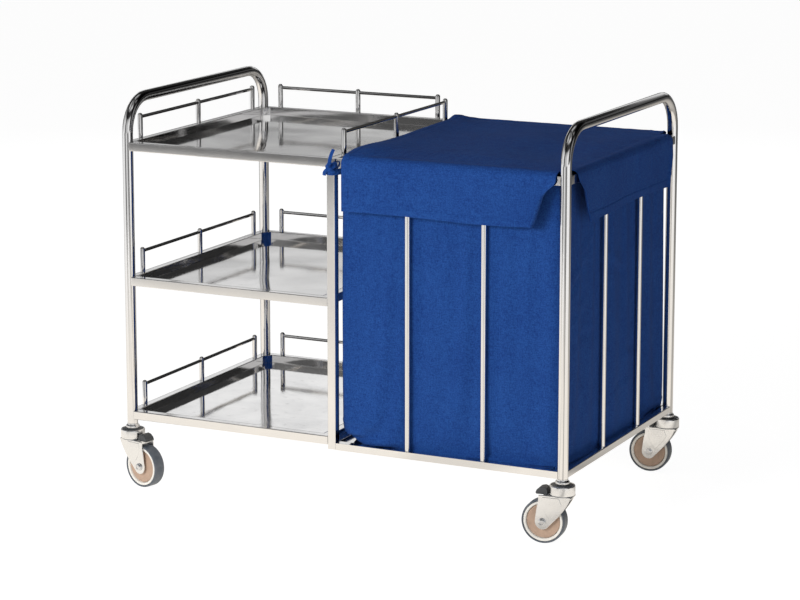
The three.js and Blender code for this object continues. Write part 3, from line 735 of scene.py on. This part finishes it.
def make_bag():
    xs, ys, r = BAG["x1"] - BAG["x0"], 2 * BAG["y"], BAG["r"]
    pts, nrm, side = [], [], []
    step = 0.009

    def line(p, q, n_, sd):
        L = math.dist(p, q)
        k = max(2, int(L / step))
        for i in range(k):
            t = i / k
            pts.append((p[0] + (q[0] - p[0]) * t, p[1] + (q[1] - p[1]) * t)); nrm.append(n_); side.append(sd)

    def turn(cx, cy, a0, sd):
        for i in range(4):
            a = math.radians(a0 + 90 * i / 4)
            pts.append((cx + r * math.cos(a), cy + r * math.sin(a))); nrm.append((math.cos(a), math.sin(a))); side.append(sd)

    x0, x1, y = BAG["x0"], BAG["x1"], BAG["y"]
    line((x0 + r, -y), (x1 - r, -y), (0, -1), 0); turn(x1 - r, -y + r, -90, 4)
    line((x1, -y + r), (x1, y - r), (1, 0), 1); turn(x1 - r, y - r, 0, 4)
    line((x1 - r, y), (x0 + r, y), (0, 1), 2); turn(x0 + r, y - r, 90, 4)
    line((x0, y - r), (x0, -y + r), (-1, 0), 3); turn(x0 + r, -y + r, 180, 4)
    P, N, S = np.array(pts), np.array(nrm), np.array(side)
    n = len(P)
    rows = list(np.linspace(BAG["z0"] + 0.012, BAG["z1"], 74))
    V, F = [], []
    arc_s = np.concatenate([[0], np.cumsum(np.linalg.norm(np.diff(P, axis=0), axis=1))])
    f1, f2, f3 = waves(7, 3, 12, 40), waves(6, 5, 40, 95), waves(5, 8, 5, 14)
    for iz, z in enumerate(rows):
        free = smoothstep(np.full(n, z), BAG["z0"] + 0.01, BAG["z0"] + 0.09) * (1 - smoothstep(np.full(n, z), BAG["z1"] - 0.075, BAG["z1"] - 0.03))
        low = 1 - smoothstep(np.full(n, z), 0.2, 0.55)
        d_ = np.zeros(n)
        # bulge between the bars
        gx = np.array([x0, *BARS_X, x1]); gy = np.array([-y, *BARS_Y, y])
        def between(c, g):
            out_ = np.zeros_like(c)
            for a, b in zip(g[:-1], g[1:]):
                m_ = (c >= a) & (c <= b)
                out_[m_] = np.maximum(np.sin(math.pi * (c[m_] - a) / (b - a)), 0.0) ** 0.8
            return out_
        fb = np.where((S == 0) | (S == 2), between(P[:, 0], gx), 0) + np.where((S == 1), between(P[:, 1], gy), 0)
        fl = np.where(S == 3, np.maximum(np.sin(math.pi * (P[:, 1] + y) / (2 * y)), 0.0) ** 0.7, 0)
        d_ += fb * (0.0035 + 0.0035 * low) + fl * 0.006
        w1 = fold_noise(arc_s, np.full(n, z), f1, 7.0) * 0.0016
        w2 = fold_noise(arc_s, np.full(n, z), f2, 22.0) * 0.0007
        w3 = fold_noise(np.full(n, z), arc_s, f3, 6.0) * 0.0016
        d_ += (w1 + w2 + w3) * np.where(S == 4, 0.3, 1.0)
        d_ *= free
        d_ = np.minimum(d_, np.where((S == 0) | (S == 2), 0.0095, np.where(S == 1, 0.0105, 0.009)))
        # at a bar the cloth stays inside it
        for bx in BARS_X:
            m_ = ((S == 0) | (S == 2)) & (abs(P[:, 0] - bx) < 0.02)
            lim = 0.0032 + 0.0075 * smoothstep(abs(P[:, 0] - bx), 0.006, 0.02)
            d_ = np.where(m_, np.minimum(d_, lim), d_)
        for by in BARS_Y:
            m_ = (S == 1) & (abs(P[:, 1] - by) < 0.02)
            lim = 0.0036 + 0.0075 * smoothstep(abs(P[:, 1] - by), 0.006, 0.02)
            d_ = np.where(m_, np.minimum(d_, lim), d_)
        X = P[:, 0] + N[:, 0] * d_
        Y = P[:, 1] + N[:, 1] * d_
        Z = np.full(n, z)
        # slack lower corners: pulled in and lifted
        for (cx, cy, lift, pull, reach_) in ((x0, -y, 0.022, 0.002, 0.075), (x1, -y, 0.002, 0.002, 0.06), (x1, y, 0.003, 0.002, 0.06), (x0, y, 0.012, 0.004, 0.08)):
            dist = np.sqrt((P[:, 0] - cx) ** 2 + (P[:, 1] - cy) ** 2)
            k = (1 - smoothstep(dist, 0, reach_)) * (1 - smoothstep(Z, BAG["z0"], BAG["z0"] + 0.17))
            X = X + np.sign((x0 + x1) / 2 - cx) * pull * k
            Y = Y - np.sign(cy) * pull * 0.55 * k
            Z = Z + lift * k * (1 - smoothstep(Z, BAG["z0"], BAG["z0"] + 0.17))
        # diagonal pull lines out of the front lower left corner
        q = (P[:, 0] - x0) * 0.8 - (Z - BAG["z0"]) * 1.0
        k = np.where(S == 0, 1.0, 0) * np.exp(-((P[:, 0] - x0 - 0.06) / 0.09) ** 2) * np.exp(-((Z - BAG["z0"] - 0.055) / 0.05) ** 2)
        Y = Y + k * 0.004 * np.sin(q * 85.0)
        V += list(np.stack([X, Y, Z], 1))
    for iz in range(len(rows) - 1):
        for i in range(n):
            j = (i + 1) % n
            F.append((iz * n + i, iz * n + j, (iz + 1) * n + j, (iz + 1) * n + i))
    # bottom: rings drawn in to the middle, with the lower edge rounded under
    base = np.array(V[:n])
    mid = np.array([(x0 + x1) / 2, 0, 0])
    prev = 0
    for k, (sc, dz) in enumerate([(0.994, -0.006), (0.983, -0.0098), (0.965, -0.011), (0.9, -0.0112), (0.78, -0.0112), (0.6, -0.0112), (0.4, -0.0112), (0.2, -0.0112)]):
        ring = base.copy()
        ring[:, :2] = mid[:2] + (base[:, :2] - mid[:2]) * sc
        ring[:, 2] = np.maximum(base[:, 2] + dz, BAG["z0"] + 0.0008) if k < 3 else BAG["z0"] + 0.0008 + np.maximum(base[:, 2] - rows[0], 0) * (1 - (k - 2) * 0.25 if k < 6 else 0)
        start = len(V)
        V += list(ring)
        for i in range(n):
            j = (i + 1) % n
            F.append((start + i, start + j, prev + j, prev + i))
        prev = start
    c = len(V)
    V.append(np.array([mid[0], 0, BAG["z0"] + 0.0008]))
    for i in range(n):
        F.append((c, prev + (i + 1) % n, prev + i))
    o = add_mesh("linen_bag_cloth", V, F, M["blue_fabric"])
    fix_normals(o)
    co = np.array([v_.co for v_ in o.data.vertices])
    top_ids = np.where(co[:, 2] > BAG["z1"] - 0.022)[0]
    soft_ids = np.where((co[:, 0] < 0.03) & (abs(co[:, 1] + 0.3) < 0.03) & (co[:, 2] < 0.19))[0]
    cs = [box_proxy("c_plate", (-0.03, -0.34, 0.148), (0.56, 0.34, 0.1593))]
    cs += [bar_proxy(f"c_bar_{i}_{j}", bx, sy * 0.325, 0.00635, 0.165, 0.815) for i, bx in enumerate(BARS_X) for j, sy in enumerate((-1, 1))]
    cs += [bar_proxy(f"c_rbar_{i}", 0.55, by, 0.00635, 0.165, 0.815) for i, by in enumerate(BARS_Y)]
    cs += [bar_proxy("c_post_f", 0.55, -0.325, 0.0125, 0.15, 0.85, 16), bar_proxy("c_post_b", 0.55, 0.325, 0.0125, 0.15, 0.85, 16)]
    cs += [box_proxy("c_mid_f", (-0.025, -0.335, 0.15), (-0.005, -0.315, 0.82)), box_proxy("c_mid_b", (-0.025, 0.315, 0.15), (-0.005, 0.335, 0.82))]
    settle(o, [(1.0, top_ids), (0.9, soft_ids)], cs, frames=26, shrink=-0.018, pressure=0.30, mass=0.3, bend=0.4, stiff=15.0)
    crease_bag(o)
    s_ = o.modifiers.new("thick", "SOLIDIFY")
    s_.thickness, s_.offset = 0.0011, -1
    return o


bag = make_bag()
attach(bag, "root"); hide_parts("linen_bag")


# ------------------------------------------------------------------ loose cover
def make_cover():
    yo, ztop, r = 0.3385, 0.8262, 0.017
    zb = 0.7050
    skirt_len = ztop - r - zb
    tv = [0.0, 0.0012, 0.009, 0.0165, 0.0178, 0.0190, 0.0202] + list(np.linspace(0.028, skirt_len, 12))
    half_top = yo - r
    arc_n = 7
    cols = []  # (y, z, depth share, outward share, height above hem)
    for t in tv:
        cols.append((-yo, zb + t, 1 - t / skirt_len, 1.0, t))
    for i in range(1, arc_n):
        a = math.pi - (math.pi / 2) * i / arc_n
        cols.append((-half_top + r * math.cos(a), ztop - r + r * math.sin(a), 0.0, 1 - i / arc_n, None))
    top_y = np.linspace(-half_top, half_top, 72)
    front = list(cols)
    for yv in top_y:
        cols.append((yv, ztop, 0.0, 0.0, None))
    for (yv, zv, dep, ow, t) in reversed(front):
        cols.append((-yv, zv, dep, ow, t))
    nv = len(cols)
    x0, xh, xe, re_ = 0.0165, 0.5335, 0.5640, 0.014
    tu = [0.0, 0.0012, 0.009, 0.0165, 0.0178, 0.0190, 0.0202] + list(np.linspace(0.030, xh - x0 - 0.05, 52)) + list(np.linspace(xh - x0 - 0.05, xh - x0, 17)[1:])
    rowsu = [(x0 + t, 0.0, t) for t in tu]
    for xv in np.linspace(xh, xe - re_, 4)[1:]:
        rowsu.append((xv, 0.0, None))
    for i in range(1, arc_n + 1):
        a = (math.pi / 2) * (1 - i / arc_n)
        rowsu.append((xe - re_ + re_ * math.cos(a), re_ * (1 - math.sin(a)), None))
    ez = ztop - re_ - 0.7120
    te = list(np.linspace(0, ez - 0.026, 12)[1:]) + [ez - 0.0202, ez - 0.019, ez - 0.0178, ez - 0.0165, ez - 0.009, ez - 0.0012, ez]
    for t in te:
        rowsu.append((xe, re_ + t, t - ez))
    nu = len(rowsu)
    n_main = len(tu)
    X = np.zeros((nu, nv)); Y = np.zeros((nu, nv)); Z = np.zeros((nu, nv))
    keep = np.ones((nu, nv), bool)
    for iu, (xv, drop, tuv) in enumerate(rowsu):
        for iv, (yv, zv, dep_, ow_, tv_) in enumerate(cols):
            x, y, z = xv, yv, zv - drop
            if iu >= n_main:
                keep[iu, iv] = dep_ == 0 and ow_ == 0 and abs(yv) <= 0.2935
            if dep_ > 0 or ow_ > 0:
                x = x0 + (xv - x0) * (0.5325 - x0) / (xh - x0)
            X[iu, iv], Y[iu, iv], Z[iu, iv] = x, y, z
    one = np.ones((nu, 1))
    dep = np.array([c[2] for c in cols])[None, :] * one
    ow = np.array([c[3] for c in cols])[None, :] * one
    sg = np.where(np.array([c[0] for c in cols]) < 0, -1.0, 1.0)[None, :] * one
    endz = np.array([r_[1] for r_ in rowsu])[:, None] * np.ones((1, nv))
    skirt = dep > 0
    top = (dep == 0) & (ow == 0)
    on_end = endz > 0.0145
    # front and back skirts: cut back towards the bottom, the free end rolled outwards
    cut = np.where(sg < 0, 0.043, 0.046) * dep ** 1.1
    endx = 0.5325 - cut
    frac = (X - x0) / (0.5325 - x0)
    endx = endx + 0.008 * dep
    xs = x0 + frac * (endx - x0)
    roll, R = 0.0275, 0.0105
    s_in = np.clip(xs - (endx - roll), 0, roll)
    w_ = smoothstep(dep, 0.03, 0.40)
    ang = s_in / R
    xr = np.where(s_in > 0, endx - roll + R * np.sin(ang), xs)
    dy = R * (1 - np.cos(ang)) * w_
    X = np.where(skirt, xs, X)
    roll_dx, roll_dy = np.where(skirt, (xr - xs) * w_, 0), np.where(skirt, sg * dy, 0)
    # top: a soft crown over the linen with slow undulations
    edge = np.minimum(smoothstep(0.3215 - abs(Y), 0.0, 0.10), np.minimum(smoothstep(X - x0, 0.0, 0.08), smoothstep(0.550 - X, 0.0, 0.09)))
    und = fold_noise(X, Y, waves(5, 41, 8, 24), 9.0) * 0.0020 + fold_noise(Y, X, waves(5, 43, 8, 26), 7.0) * 0.0018
    Z += np.where(top & ~on_end, edge * (0.0040 + und), 0)
    puff = 0.0085 * np.exp(-((X - 0.045) / 0.055) ** 2 - ((Y + 0.235) / 0.10) ** 2) + 0.0085 * np.exp(-((X - 0.02) / 0.035) ** 2 - ((Y - 0.300) / 0.028) ** 2)
    puff += 0.004 * np.exp(-((X - 0.02) / 0.05) ** 2) * smoothstep(0.33 - abs(Y), 0.0, 0.06)
    Z += np.where((dep == 0) & ~on_end, puff * (1 - ow * 0.7), 0)
    # small pleat running in from the back shelf-side corner
    dline = (X - 0.03) * 0.55 + (Y - 0.295) * 0.83
    along = -(X - 0.03) * 0.83 + (Y - 0.295) * 0.55
    Z -= np.where(top, 0.0035 * np.exp(-(dline / 0.006) ** 2) * smoothstep(-along, -0.01, 0.02) * (1 - smoothstep(-along, 0.03, 0.07)), 0)
    # the shelf-side edge leans over to the shelf towards the back, and droops a little
    lean = 0.019 * smoothstep(Y, -0.25, 0.33) * (1 - smoothstep(X - x0, 0.0, 0.25))
    X -= lean
    Z -= np.where(top, 0.0022 * (1 - smoothstep(X + lean - x0, 0.0, 0.03)), 0)
    # skirts: soft flutes that grow downwards, deeper near the shelf-side corner
    fl = fold_noise(X, Z * 0 + sg, waves(5, 51, 8, 26), 3.0) * 0.0050 + fold_noise(X, Z, waves(4, 53, 26, 60), 14.0) * 0.0014
    out_ = dep ** 1.3 * (0.0060 + fl) + dep * (1 - dep) * 4 * 0.0014
    Y += np.where(skirt, sg * np.maximum(out_, -0.0004), 0)
    Z += np.where(skirt, 0.0026 * dep * np.sin(X * 12.0 + 1.2 + sg), 0)
    # end skirt between the handle legs, free edges rolled outwards
    de = np.clip((endz - re_) / ez, 0, 1)
    yl = np.where(sg < 0, 0.2935 - 0.046 * de, 0.2935 - 0.030 * de)
    ymax = 0.2935
    fr_ = abs(Y) / ymax
    ys = fr_ * yl
    roll_e, Re = 0.0235, 0.0095
    s_e = np.clip(ys - (yl - roll_e), 0, roll_e)
    we = smoothstep(de, 0.02, 0.35) * np.where(sg < 0, 1.0, 0.55)
    yr = np.where(s_e > 0, yl - roll_e + Re * np.sin(s_e / Re), ys)
    Y = np.where(endz > 0.012, sg * ys, Y)
    roll_dy = roll_dy + np.where(endz > 0.012, sg * (yr - ys) * we, 0)
    roll_dx = roll_dx + np.where(on_end, Re * (1 - np.cos(s_e / Re)) * we, 0)
    fe = fold_noise(Y, Z * 0, waves(5, 61, 8, 28), 3.0) * 0.0034 + fold_noise(Y, Z, waves(4, 63, 28, 70), 14.0) * 0.001
    X += np.where(on_end, np.maximum(de ** 1.3 * (0.0035 + fe), -0.0002), 0)
    Z += np.where(on_end, 0.0026 * de * np.sin(Y * 11.0 + 0.6), 0)
    idx = -np.ones((nu, nv), int)
    verts, faces = [], []
    for a in range(nu):
        for b in range(nv):
            if keep[a, b]:
                idx[a, b] = len(verts)
                verts.append((X[a, b], Y[a, b], Z[a, b]))
    for a in range(nu - 1):
        for b in range(nv - 1):
            q = (idx[a, b], idx[a + 1, b], idx[a + 1, b + 1], idx[a, b + 1])
            if min(q) >= 0:
                faces.append(q)
    o = add_mesh("bag_cover_cloth", verts, faces, M["blue_fabric"])
    fix_normals(o)
    if sum(p.normal.z * p.area for p in o.data.polygons) < 0:
        o.data.flip_normals()
    flat_t = np.full((nu, nv), False)
    hold = idx[(dep == 0) & (ow == 0) & (endz == 0) & (abs(Y) < 0.30) & (X > 0.04) & (X < 0.53) & keep]
    left = idx[(dep == 0) & (ow == 0) & (endz == 0) & (X <= 0.04) & keep]
    rails = [rod_proxy("c_fr", (-0.005, -0.3212, 0.8088), (0.54, -0.3212, 0.8088), 0.0158), rod_proxy("c_br", (-0.005, 0.3212, 0.8088), (0.54, 0.3212, 0.8088), 0.0158),
             rod_proxy("c_rr", (0.5485, -0.3125, 0.8105), (0.5485, 0.3125, 0.8105), 0.0138), box_proxy("c_fill", (0.012, -0.312, 0.70), (0.5395, 0.312, 0.8190))]
    rails += [bar_proxy("c_pf", 0.55, -0.325, 0.0125, 0.60, 0.90, 16), bar_proxy("c_pb", 0.55, 0.325, 0.0125, 0.60, 0.90, 16)]
    rails += [bar_proxy(f"c_b{i}{j}", bx, sy * 0.325, 0.00635, 0.60, 0.80) for i, bx in enumerate(BARS_X) for j, sy in enumerate((-1, 1))]
    rails += [bar_proxy(f"c_e{i}", 0.55, by, 0.00635, 0.60, 0.80) for i, by in enumerate(BARS_Y)]
    settle(o, [(0.55, hold), (0.75, left)], rails, frames=16, shrink=-0.010, mass=0.3, bend=1.6, stiff=20.0)
    # the sheet stays outside the rails it lies over
    for iu in range(nu):
        for iv in range(nv):
            if not keep[iu, iv]:
                continue
            c = o.data.vertices[idx[iu, iv]].co
            sgn = -1.0 if c.y < 0 else 1.0
            if iu < n_main:
                if dep[iu, iv] > 0:
                    if abs(c.y) < 0.3380:
                        c.y = sgn * 0.3380
                else:
                    dy_, dz_ = max(abs(c.y) - 0.3212, 0.0), c.z - 0.8088
                    rad = math.hypot(dy_, dz_)
                    if dz_ > 0 and rad < 0.0168:
                        if dy_ > 0:
                            c.y, c.z = sgn * (0.3212 + dy_ * 0.0168 / rad), 0.8088 + dz_ * 0.0168 / rad
                        else:
                            c.z = 0.8256
                    elif dz_ <= 0 and abs(c.y) < 0.3380:
                        c.y = sgn * 0.3380
            if c.x > 0.535 and dep[iu, iv] == 0 and ow[iu, iv] == 0:
                dx_, dz_ = max(c.x - 0.5485, 0.0), c.z - 0.8105
                rad = math.hypot(dx_, dz_)
                if dz_ > 0 and rad < 0.0147:
                    if dx_ > 0:
                        c.x, c.z = 0.5485 + dx_ * 0.0147 / rad, 0.8105 + dz_ * 0.0147 / rad
                    else:
                        c.z = 0.8252
                elif dz_ <= 0 and c.x < 0.5632:
                    c.x = 0.5632
    # free edges rolled outwards, then the hems: doubled cloth a shade proud with the stitch row drawn in
    me = o.data
    for iu in range(nu):
        for iv in range(nv):
            if keep[iu, iv] and (roll_dx[iu, iv] or roll_dy[iu, iv]):
                me.vertices[idx[iu, iv]].co += Vector((roll_dx[iu, iv], roll_dy[iu, iv], 0))
    me.update()
    nrm = [v_.normal.copy() for v_ in me.vertices]
    for iu in range(nu):
        for iv in range(nv):
            if not keep[iu, iv]:
                continue
            t = 1.0
            if cols[iv][4] is not None:
                t = min(t, cols[iv][4])
            if iu < n_main:
                t = min(t, rowsu[iu][2])
            elif rowsu[iu][2] is not None:
                t = min(t, -rowsu[iu][2])
            amp = 0.0011 if t < 0.0170 else (-0.0007 if t < 0.0186 else 0.0)
            if amp:
                k = idx[iu, iv]
                me.vertices[k].co += nrm[k] * amp
    return o


cover = make_cover()
sm = cover.modifiers.new("smooth", "SUBSURF"); sm.levels = 1; sm.render_levels = 1
so = cover.modifiers.new("thick", "SOLIDIFY"); so.thickness, so.offset = 0.0012, 1
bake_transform(cover)
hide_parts("bag_cover", "cover_end_skirt")


# ------------------------------------------------------------------ tape tie
def ribbon(name, path, width, thick, twist, mat):
    """A flat tape swept along points; twist gives the across direction at each point."""
    P = [Vector(p) for p in path]
    n = len(P)
    vs, fs = [], []
    for i in range(n):
        t = (P[min(i + 1, n - 1)] - P[max(i - 1, 0)]).normalized()
        a = Vector(twist[i] if isinstance(twist, list) else twist)
        a = (a - t * a.dot(t)).normalized()
        b = t.cross(a).normalized()
        for u, v_ in ((-1, -1), (-0.5, -1.15), (0.5, -1.15), (1, -1), (1, 1), (0.5, 1.15), (-0.5, 1.15), (-1, 1)):
            vs.append(P[i] + a * u * width / 2 + b * v_ * thick / 2)
    m_ = 8
    for i in range(n - 1):
        for k in range(m_):
            l = (k + 1) % m_
            fs.append((i * m_ + k, i * m_ + l, (i + 1) * m_ + l, (i + 1) * m_ + k))
    fs.append(tuple(range(m_))[::-1]); fs.append(tuple((n - 1) * m_ + k for k in range(m_)))
    o = add_mesh(name, vs, fs, mat)
    fix_normals(o)
    sb = o.modifiers.new("smooth", "SUBSURF"); sb.levels = 1; sb.render_levels = 2
    return o


def spline(pts, n):
    pts = np.array(pts, float)
    t = np.concatenate([[0], np.cumsum(np.linalg.norm(np.diff(pts, axis=0), axis=1))])
    q = np.linspace(0, t[-1], n)
    lin = np.stack([np.interp(q, t, pts[:, k]) for k in range(3)], 1)
    for _ in range(3):
        lin[1:-1] = 0.25 * lin[:-2] + 0.5 * lin[1:-1] + 0.25 * lin[2:]
    return [tuple(p) for p in lin]


MXm = -0.015
yf = -0.3365
tie_parts = []
# band round the post top, just under the shelf rim
tie_parts.append(ribbon("tape_band_front", spline([(0.010, -0.318, 0.790), (0.001, -0.334, 0.790), (-0.006, yf - 0.0008, 0.789), (-0.015, yf - 0.0012, 0.788), (-0.026, yf - 0.0008, 0.790), (-0.0262, -0.326, 0.791)], 22), 0.015, 0.0012, (0, 0, 1), M["blue_tape"]))
# knot: crossed tucks of tape
tie_parts.append(ribbon("tape_knot_a", spline([(-0.024, yf - 0.002, 0.780), (-0.017, yf - 0.006, 0.786), (-0.012, yf - 0.0075, 0.793), (-0.006, yf - 0.005, 0.801), (-0.003, yf - 0.002, 0.808)], 20), 0.015, 0.0016, (0.8, 0, -0.6), M["blue_tape"]))
tie_parts.append(ribbon("tape_knot_b", spline([(-0.002, yf - 0.002, 0.781), (-0.008, yf - 0.0085, 0.787), (-0.014, yf - 0.0105, 0.793), (-0.021, yf - 0.008, 0.799), (-0.027, yf - 0.002, 0.803)], 20), 0.014, 0.0016, (0.6, 0, 0.8), M["blue_tape"]))
tie_parts.append(ribbon("tape_loop", spline([(-0.014, yf - 0.006, 0.796), (-0.008, yf - 0.011, 0.806), (0.000, yf - 0.011, 0.812), (0.006, yf - 0.008, 0.808), (0.004, yf - 0.006, 0.799), (-0.006, yf - 0.008, 0.791), (-0.012, yf - 0.009, 0.789)], 30), 0.012, 0.0014, (0.2, 0.9, 0.3), M["blue_tape"]))
tie_parts.append(ribbon("tape_tail_up", spline([(-0.013, yf - 0.007, 0.792), (-0.0125, yf - 0.011, 0.806), (-0.0095, yf - 0.0125, 0.822), (-0.0055, yf - 0.010, 0.836), (-0.002, yf - 0.006, 0.846)], 26), 0.010, 0.0013, (0.9, 0.2, 0.25), M["blue_tape"]))
tie_parts.append(ribbon("tape_tail_down", spline([(-0.015, yf - 0.007, 0.792), (-0.022, yf - 0.010, 0.790), (-0.029, yf - 0.009, 0.783), (-0.0315, yf - 0.006, 0.774)], 22), 0.010, 0.0013, (0.75, 0.3, -0.4), M["blue_tape"]))
for o in tie_parts[1:]:
    for v_ in o.data.vertices:
        v_.co.x = -0.0125 + (v_.co.x + 0.0125) * 0.82 + 0.0015
        v_.co.z = 0.797 + (v_.co.z - 0.793) * 0.85
allv, allf, tape_area = [], [], 0.0
for o in tie_parts:
    base_ = len(allv)
    vv = [v_.co.copy() for v_ in o.data.vertices]
    tape_area += sum((vv[i + 8] - vv[i]).length * (vv[i + 3] - vv[i]).length for i in range(0, len(vv) - 8, 8))
    allv += vv
    allf += [[base_ + i for i in p_.vertices] for p_ in o.data.polygons]
    me_o = o.data
    bpy.data.objects.remove(o, do_unlink=True)
    bpy.data.meshes.remove(me_o)
tape = add_mesh("tape_tie_cloth", allv, allf, M["blue_tape"])
sb = tape.modifiers.new("smooth", "SUBSURF"); sb.levels = 1; sb.render_levels = 2
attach(tape, "root"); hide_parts("tape_tie")
print("TAPE", round(tape_area / 0.0125, 4))
